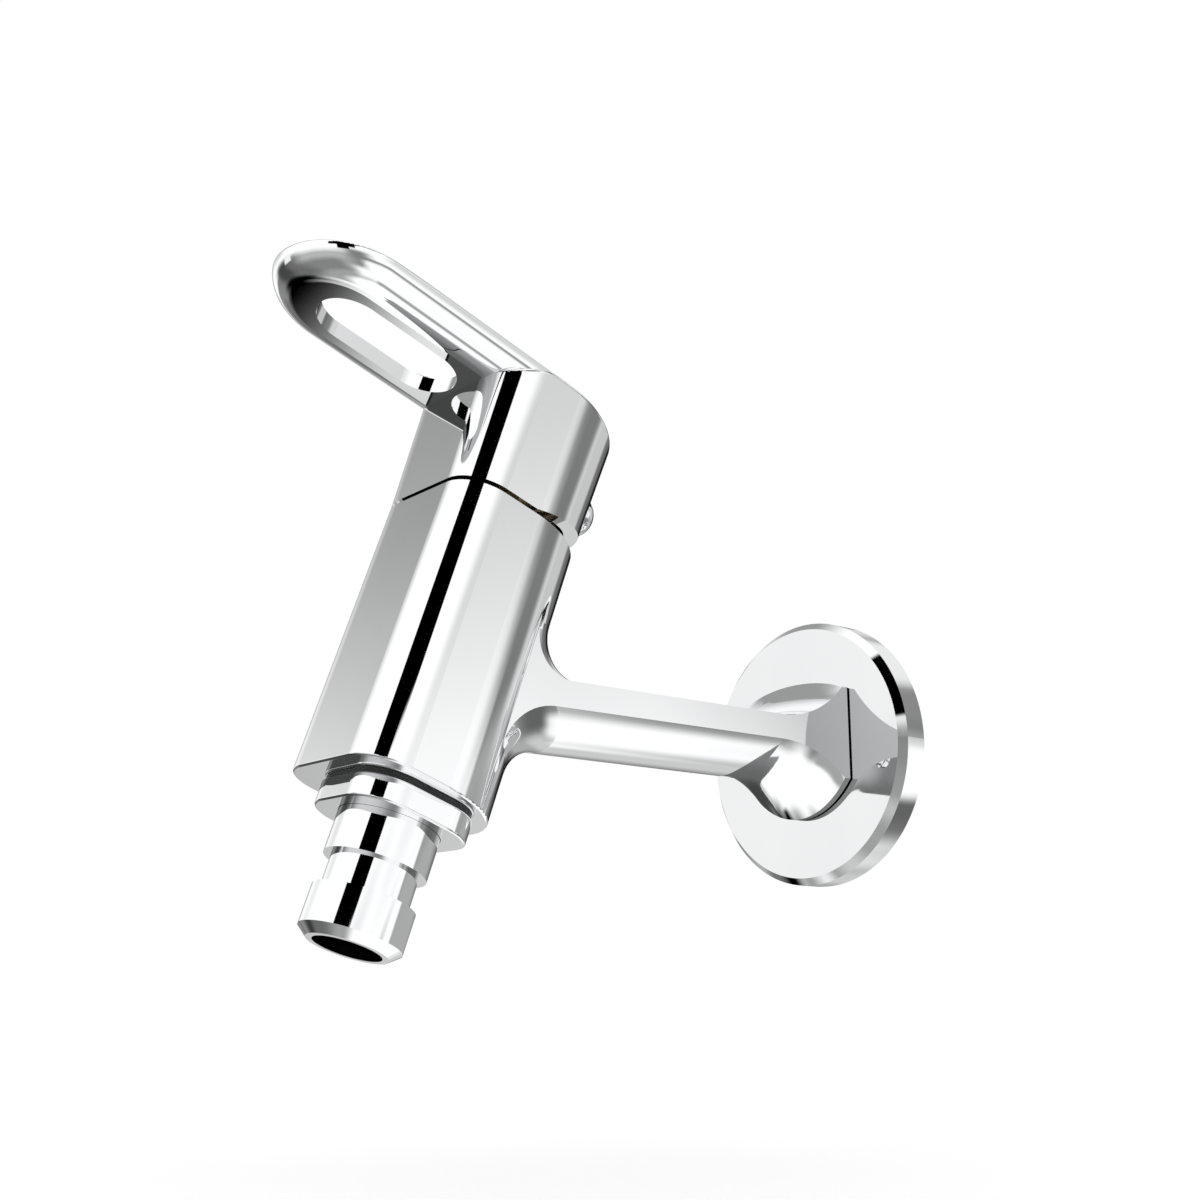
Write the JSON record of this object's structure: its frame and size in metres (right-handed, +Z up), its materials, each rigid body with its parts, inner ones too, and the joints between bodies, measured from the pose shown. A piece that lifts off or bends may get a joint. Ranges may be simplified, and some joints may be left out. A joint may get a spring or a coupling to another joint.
{
  "type": "hose bib",
  "caption": "Wall-mounted hose tap with a leaning square-fronted valve column, a slotted lift lever, a horizontal arm, a round wall flange and a beaded hose nozzle.",
  "frame": {"origin": "on the inlet axis at the wall plane, where the male inlet thread starts behind the wall flange", "axes": "+Y into the wall along the inlet thread, -Y towards the user, +Z up, +X to the right for someone facing the wall"},
  "size_m": [0.0584, 0.1564, 0.1284],
  "materials": {
    "chromed_brass": "polished chrome plate on brass",
    "chromed_handle": "polished chrome plate on zinc casting",
    "chromed_cap": "chrome plated plastic plug",
    "black_rubber": "black nitrile seal rubber",
    "strainer_plastic": "moulded acetal",
    "cartridge_plastic": "moulded glass-filled plastic",
    "ceramic_disc": "lapped alumina",
    "stainless_pin": "plain stainless",
    "plain_brass": "turned unplated brass",
    "bush_plastic": "black nylon"
  },
  "bodies": {
    "body": {"tap_body": "chromed_brass", "inlet_strainer": "strainer_plastic", "outlet_ring": "chromed_brass", "outlet_gasket": "black_rubber", "hose_nozzle": "chromed_brass", "nozzle_o_ring": "black_rubber", "cartridge_base": "cartridge_plastic", "port_seals": "black_rubber", "fixed_disc": "ceramic_disc", "cartridge_housing": "cartridge_plastic", "housing_o_ring": "black_rubber", "pivot_pin": "stainless_pin", "retaining_nut": "plain_brass"},
    "lever": {"lever_handle": "chromed_handle", "lever_stem": "plain_brass", "handle_bush": "bush_plastic", "grub_screw": "stainless_pin", "screw_cap": "chromed_cap"},
    "disc": {"moving_disc": "ceramic_disc", "disc_carrier": "cartridge_plastic"},
    "flange": {"wall_flange": "chromed_brass", "flange_seal": "black_rubber"}
  },
  "joints": [
    {"name": "lever_lift", "type": "hinge", "parent": "body", "child": "lever", "pos_m": [0, -0.095, 0.02782], "axis": [-1, 0, 0], "range_deg": [0, 14]},
    {"name": "disc_slide", "type": "slide", "parent": "body", "child": "disc", "axis": [0, -0.9432, 0.3322], "range_m": [0, 0.0025]},
    {"name": "flange_slide", "type": "slide", "parent": "body", "child": "flange", "axis": [0, 1, 0], "range_m": [0, 0.006]}
  ],
  "couplings": [
    {"joint": "disc_slide", "follows": "lever_lift", "m_per_rad": 0.009}
  ]
}
